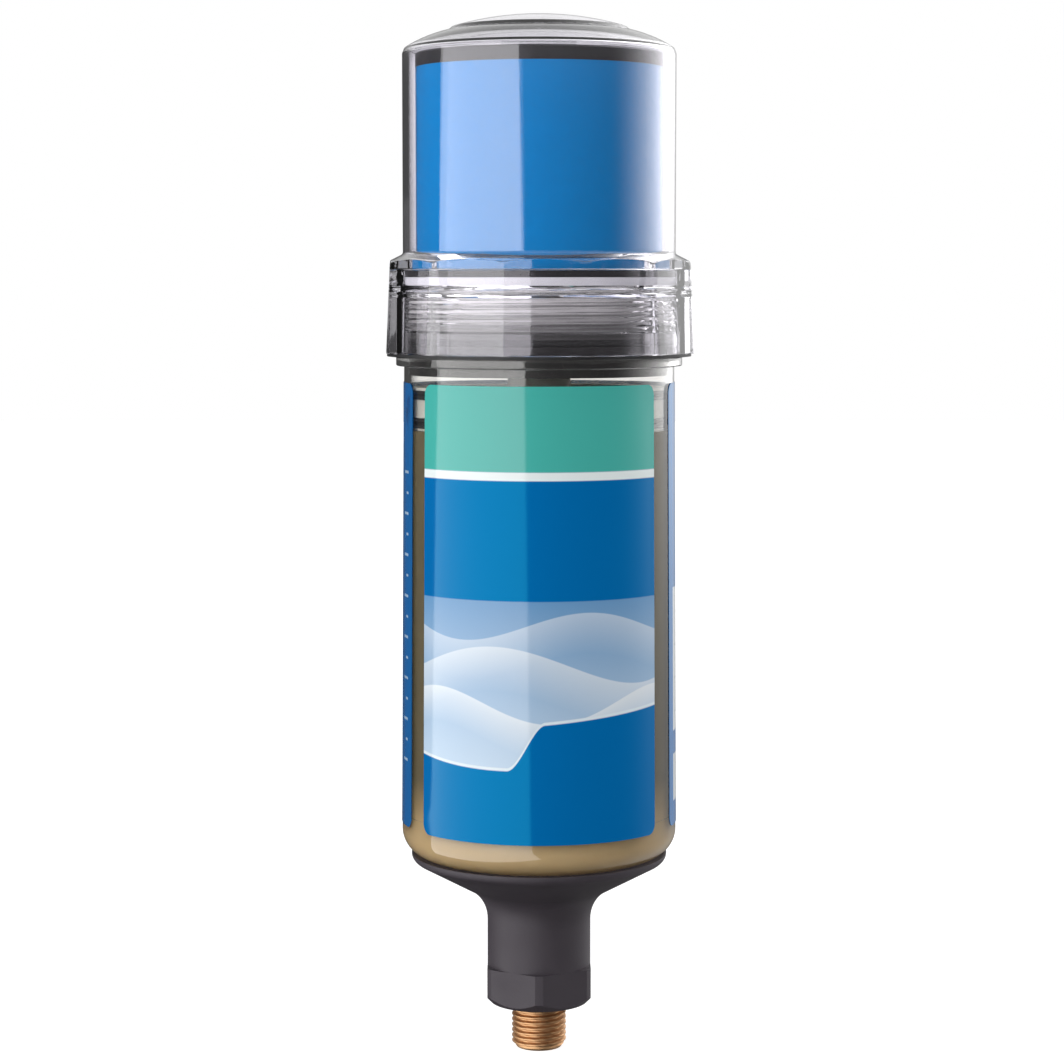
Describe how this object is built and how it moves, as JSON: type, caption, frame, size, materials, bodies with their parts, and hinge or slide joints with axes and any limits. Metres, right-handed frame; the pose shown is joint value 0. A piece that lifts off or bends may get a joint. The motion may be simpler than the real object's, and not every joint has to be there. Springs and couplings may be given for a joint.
{
  "type": "automatic lubricator",
  "caption": "Upright single-point automatic grease lubricator: clear canister with a driven piston, battery drive under a clear screw-on cover, black support flange, threaded brass outlet.",
  "frame": {"origin": "centre of the flat end of the neck, where the outlet thread starts and the lubricator seats on the machine", "axes": "+Z along the lubricator's axis from the outlet to the domed cover; the front label faces -Y; +X to the right of someone reading it"},
  "size_m": [0.0732, 0.0732, 0.2489],
  "materials": {
    "brass_nipple": "machined brass, uncoated",
    "flange_black": "moulded black glass-filled plastic, fine matt texture",
    "canister_clear": "clear moulded plastic, polished",
    "cover_clear": "clear moulded plastic, polished, faintly smoky",
    "label_front": "printed gloss film label, green over blue",
    "label_rear": "printed gloss film label, blue with plain scale ticks",
    "label_drive": "printed gloss film label, plain blue",
    "grease_tan": "lubricating grease, tan, soft gloss",
    "piston_pale": "moulded pale plastic, satin",
    "seal_rubber": "black sealing rubber",
    "gasket_white": "white silicone rubber gasket",
    "spindle_acetal": "moulded acetal, satin",
    "drive_black": "moulded black plastic, satin",
    "shell_grey": "moulded grey plastic, satin",
    "gear_acetal": "moulded natural acetal, satin",
    "steel_pin": "ground steel",
    "motor_can": "drawn zinc-plated steel can",
    "screw_steel": "zinc-plated steel",
    "plate_steel": "pressed zinc-plated steel",
    "cell_wrap": "filled steel cell in a dark film sleeve",
    "contact_nickel": "nickel-plated spring steel",
    "board_green": "glass-epoxy board, green solder mask",
    "part_black": "moulded black component plastic",
    "lamp_clear": "clear lamp epoxy",
    "pipe_green": "green tinted clear plastic",
    "pipe_red": "red tinted clear plastic",
    "dial_grey": "moulded light grey plastic, satin"
  },
  "bodies": {
    "lubricator_body": {"outlet_nipple": "brass_nipple", "support_flange": "flange_black", "canister": "canister_clear", "outlet_seal": "seal_rubber", "front_label": "label_front", "rear_label": "label_rear", "grease_heel": "grease_tan", "grease_charge": "grease_tan", "thrust_washer": "steel_pin", "drive_base": "drive_black", "base_seal": "seal_rubber", "rim_gasket": "gasket_white", "drive_shell": "shell_grey", "drive_label": "label_drive", "drive_top": "drive_black", "idler_axle": "steel_pin", "gear_motor": "motor_can", "gear_plate": "plate_steel", "chassis_screws": "screw_steel", "battery_holder": "shell_grey", "battery_cell_left": "cell_wrap", "battery_cell_middle": "cell_wrap", "battery_cell_right": "cell_wrap", "battery_contacts": "contact_nickel", "circuit_board": "board_green", "setting_switch": "part_black", "status_lamps": "lamp_clear", "controller_chip": "part_black", "capacitor": "part_black", "light_pipe_run": "pipe_green", "light_pipe_alarm": "pipe_red"},
    "piston_body": {"piston": "piston_pale", "piston_seal_lower": "seal_rubber", "piston_seal_upper": "seal_rubber"},
    "spindle_body": {"spindle": "spindle_acetal", "output_wheel": "gear_acetal"},
    "idler_body": {"idler_gear": "gear_acetal"},
    "pinion_body": {"motor_pinion": "steel_pin"},
    "dial_body": {"time_dial": "dial_grey"},
    "cover_seal_body": {"cover_seal": "seal_rubber"},
    "cover_body": {"protective_cover": "cover_clear"}
  },
  "joints": [
    {"name": "spindle_turn", "type": "hinge", "parent": "lubricator_body", "child": "spindle_body", "pos_m": [0, 0, 0.1], "axis": [0, 0, 1], "range_deg": [0, 10800]},
    {"name": "piston_feed", "type": "slide", "parent": "lubricator_body", "child": "piston_body", "axis": [0, 0, -1], "range_m": [0, 0.09], "deforming": ["grease_charge"]},
    {"name": "idler_turn", "type": "hinge", "parent": "lubricator_body", "child": "idler_body", "pos_m": [0.0075, -0.01299, 0.155], "axis": [0, 0, 1], "range_deg": [-43200, 0]},
    {"name": "pinion_turn", "type": "hinge", "parent": "lubricator_body", "child": "pinion_body", "pos_m": [-0.00424, -0.01549, 0.155], "axis": [0, 0, 1], "range_deg": [0, 129600]},
    {"name": "dial_turn", "type": "hinge", "parent": "lubricator_body", "child": "dial_body", "pos_m": [0, 0, 0.228], "axis": [0, 0, -1], "range_deg": [0, 270]},
    {"name": "cover_rise", "type": "slide", "parent": "lubricator_body", "child": "cover_seal_body", "axis": [0, 0, 1], "range_m": [0, 0.011]},
    {"name": "cover_turn", "type": "hinge", "parent": "cover_seal_body", "child": "cover_body", "pos_m": [0, 0, 0.165], "axis": [0, 0, 1], "range_deg": [0, 1800]}
  ],
  "couplings": [
    {"joint": "spindle_turn", "follows": "piston_feed", "rad_per_m": 2094.4},
    {"joint": "idler_turn", "follows": "piston_feed", "rad_per_m": -8377.6},
    {"joint": "pinion_turn", "follows": "piston_feed", "rad_per_m": 25133},
    {"joint": "cover_rise", "follows": "cover_turn", "m_per_rad": 0.00035014}
  ]
}
